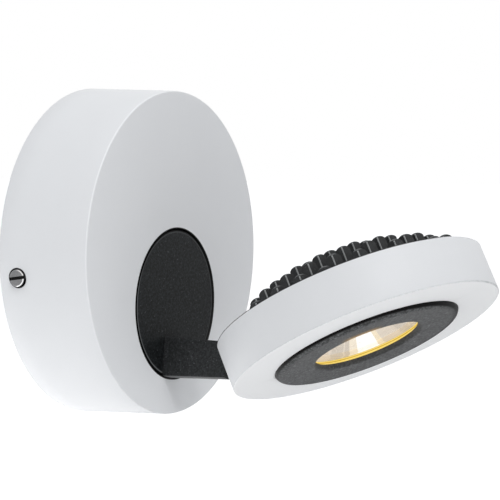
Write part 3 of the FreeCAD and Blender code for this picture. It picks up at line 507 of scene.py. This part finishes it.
FINISHES = {
    "white_coat": white_coat("white_coat", None, canopy_edge),
    "anthracite_coat": anthracite("anthracite_coat", (0.007, 0.008, 0.009), (0.06, 0.064, 0.068),
                                  1150.0, 0.50, 0.22),
    "anthracite_cast": anthracite("anthracite_cast", (0.010, 0.0112, 0.012),
                                  (0.05, 0.054, 0.058), 1200.0, 0.46, 0.3, HEAD, post_painted_light),
    "bezel_grey": anthracite("bezel_grey", (0.066, 0.068, 0.069), (0.22, 0.225, 0.23), 1000.0,
                             0.52, 0.4, HEAD, bezel_shade, 0.6),
    "screw_nickel": turned_nickel(),
    "zinc_steel": steel("zinc_steel", (0.66, 0.67, 0.68), (0.50, 0.51, 0.53), 0.34, yellow=0.25),
    "zinc_screw": steel("zinc_screw", (0.70, 0.71, 0.72), (0.56, 0.57, 0.59), 0.28),
    "brass_screw": steel("brass_screw", (0.80, 0.62, 0.28), (0.66, 0.48, 0.20), 0.26),
    "black_rubber": moulded("black_rubber", (0.016, 0.016, 0.017), (0.028, 0.028, 0.029), 0.62,
                            500.0, 0.3),
    "block_nylon": moulded("block_nylon", (0.76, 0.74, 0.69), (0.84, 0.82, 0.78), 0.42,
                           inside=0.15),
    "driver_case": moulded("driver_case", (0.70, 0.70, 0.68), (0.78, 0.78, 0.76), 0.50, 900.0),
    "brown_wire": moulded("brown_wire", (0.15, 0.06, 0.03), (0.20, 0.09, 0.045), 0.30),
    "grey_lead": moulded("grey_lead", (0.62, 0.63, 0.63), (0.70, 0.71, 0.71), 0.36),
    "nylon_white": moulded("nylon_white", (0.80, 0.80, 0.77), (0.88, 0.88, 0.85), 0.44,
                           inside=0.2),
    "friction_fibre": pressed_fibre(),
    "clear_glass": clear_glass(),
    "silicone": silicone(),
    "reflector_metal": bright_reflector(),
    "holder_white": moulded("holder_white", (0.82, 0.82, 0.79), (0.90, 0.90, 0.87), 0.46),
    "board_white": solder_mask(),
    "phosphor": phosphor(),
}

# the finishes of single pieces, in place of their slots
OWN_FINISHES = {
    "head_ring": white_coat("ring_white", HEAD, ring_edge),
    "arm_bar": anthracite("arm_coat", (0.020, 0.0215, 0.0225), (0.075, 0.08, 0.085), 1350.0,
                          0.52, 0.2, None, arm_underside_light, 0.42),
    "turntable_disc": anthracite("disc_coat", (0.009, 0.0105, 0.0112), (0.075, 0.08, 0.085),
                                 1150.0, 0.52, 0.17, None, disc_rim, 0.95),
}

slot_of = {row["node"]: row["material_slot"] for row in frame["record"]["subparts"]}
for name, thing in nodes.items():
    thing.data.materials.clear()
    thing.data.materials.append(OWN_FINISHES.get(name) or FINISHES[slot_of[name]])


# ---------- soft edges on the solids that show ----------

SOFT_WIDTHS = {"turntable_disc": 0.25 * MM, "arm_bar": 0.12 * MM, "head_ring": 0.08 * MM,
               "heat_sink": 0.22 * MM, "canopy_shell": 0.08 * MM}


def soften(thing, width):
    weld = thing.modifiers.new("weld", "WELD")
    weld.merge_threshold = 0.002 * MM
    bevel = thing.modifiers.new("soft_edge", "BEVEL")
    bevel.width = width
    bevel.segments = 2
    bevel.limit_method = "ANGLE"
    bevel.angle_limit = math.radians(35.0)
    bevel.harden_normals = True


for name, width in SOFT_WIDTHS.items():
    soften(nodes[name], width)


# ---------- stage, light and camera ----------

FLOOR_Z = -0.17
FLOOR_HALF = 8.0
FLOOR_LIFT = 0.75


def floor():
    """A pale ground that looks white to the camera and lights the part only by its bounce."""
    mesh = bpy.data.meshes.new("floor")
    work = bmesh.new()
    bmesh.ops.create_grid(work, x_segments=1, y_segments=1, size=FLOOR_HALF)
    work.to_mesh(mesh)
    work.free()
    ground = bpy.data.objects.new("floor", mesh)
    ground.location = (0, 0, FLOOR_Z)
    bpy.context.scene.collection.objects.link(ground)
    f = Finish("pale_floor")
    soft = f.node("ShaderNodeBsdfDiffuse", None, {"Color": (0.82, 0.82, 0.82, 1)})
    lift = f.node("ShaderNodeEmission", None, {"Color": (1, 1, 1, 1), "Strength": FLOOR_LIFT})
    lit = f.node("ShaderNodeAddShader", None, {0: soft, 1: lift})
    seen = f.node("ShaderNodeLightPath", out="Is Camera Ray")
    f.node_out(f.node("ShaderNodeMixShader", None, {0: seen, 1: soft, 2: lit}))
    mesh.materials.append(f.material)


def world():
    """White to the camera, to reflections and through the glass; a dimmer white as light."""
    made = bpy.data.worlds.new("studio")
    bpy.context.scene.world = made
    made.use_nodes = True
    tree = made.node_tree
    tree.nodes.clear()

    def add(kind, values):
        node = tree.nodes.new(kind)
        for key, value in values.items():
            node.inputs[key].default_value = value
        return node

    def either(first, second):
        node = tree.nodes.new("ShaderNodeMath")
        node.operation = "MAXIMUM"
        tree.links.new(first, node.inputs[0])
        tree.links.new(second, node.inputs[1])
        return node.outputs[0]

    path = add("ShaderNodeLightPath", {})
    plain = add("ShaderNodeBackground", {"Color": (0.95, 0.97, 1.0, 1), "Strength": 0.45})
    white = add("ShaderNodeBackground", {"Color": (1, 1, 1, 1), "Strength": 1.0})
    pick = add("ShaderNodeMixShader", {})
    end = add("ShaderNodeOutputWorld", {})
    mirrored = either(path.outputs["Is Camera Ray"], path.outputs["Is Glossy Ray"])
    tree.links.new(either(mirrored, path.outputs["Is Transmission Ray"]), pick.inputs[0])
    tree.links.new(plain.outputs[0], pick.inputs[1])
    tree.links.new(white.outputs[0], pick.inputs[2])
    tree.links.new(pick.outputs[0], end.inputs[0])


def softbox(name, at, aim, size, power):
    lamp = bpy.data.lights.new(name, "AREA")
    lamp.shape = "DISK"
    lamp.size = size
    lamp.energy = power
    hung = bpy.data.objects.new(name, lamp)
    hung.location = at
    hung.rotation_euler = (Vector(aim) - Vector(at)).to_track_quat("-Z", "Y").to_euler()
    hung.visible_camera = False
    bpy.context.scene.collection.objects.link(hung)


CAMERA_AT = (-0.63463, -0.42018, 0.042115)
CAMERA_RIGHT = (0.48576, -0.87409, 0.0)
CAMERA_UP = (0.04846, 0.02693, 0.99846)
CAMERA_BACK = (-0.87275, -0.48501, 0.05544)
SENSOR_MM = 36.0
LENS_MM = 143.789


def camera():
    lens = bpy.data.cameras.new("camera")
    lens.sensor_width = SENSOR_MM
    lens.lens = LENS_MM
    lens.clip_start = 0.01
    turn = Matrix((CAMERA_RIGHT, CAMERA_UP, CAMERA_BACK)).transposed()
    seen = bpy.data.objects.new("camera", lens)
    seen.matrix_world = Matrix.Translation(CAMERA_AT) @ turn.to_4x4()
    bpy.context.scene.collection.objects.link(seen)
    bpy.context.scene.camera = seen


# name, place, what it faces, diameter and power
LAMPS = (
    ("top_softbox", (-0.15, -0.25, 0.95), (0, -0.08, 0), 0.9, 3.5),
    ("key_softbox", (-0.55, -0.75, 0.75), (0, -0.05, 0), 0.3, 2.4),
    ("front_softbox", (0.15, -1.1, 0.25), (0, -0.05, 0), 0.8, 0.75),
    ("under_softbox", (-0.12, -0.12, -0.165), (0, -0.08, 0), 0.7, 0.47),
    ("low_back_softbox", (-0.15, 0.25, -0.155), (0, -0.02, -0.03), 0.4, 0.28),
    ("low_softbox", (0.0, 0.06, -0.16), (0, -0.02, -0.05), 0.3, 0.27),
)

floor()
world()
for lamp in LAMPS:
    softbox(*lamp)
camera()
bpy.context.scene.view_settings.view_transform = "Standard"
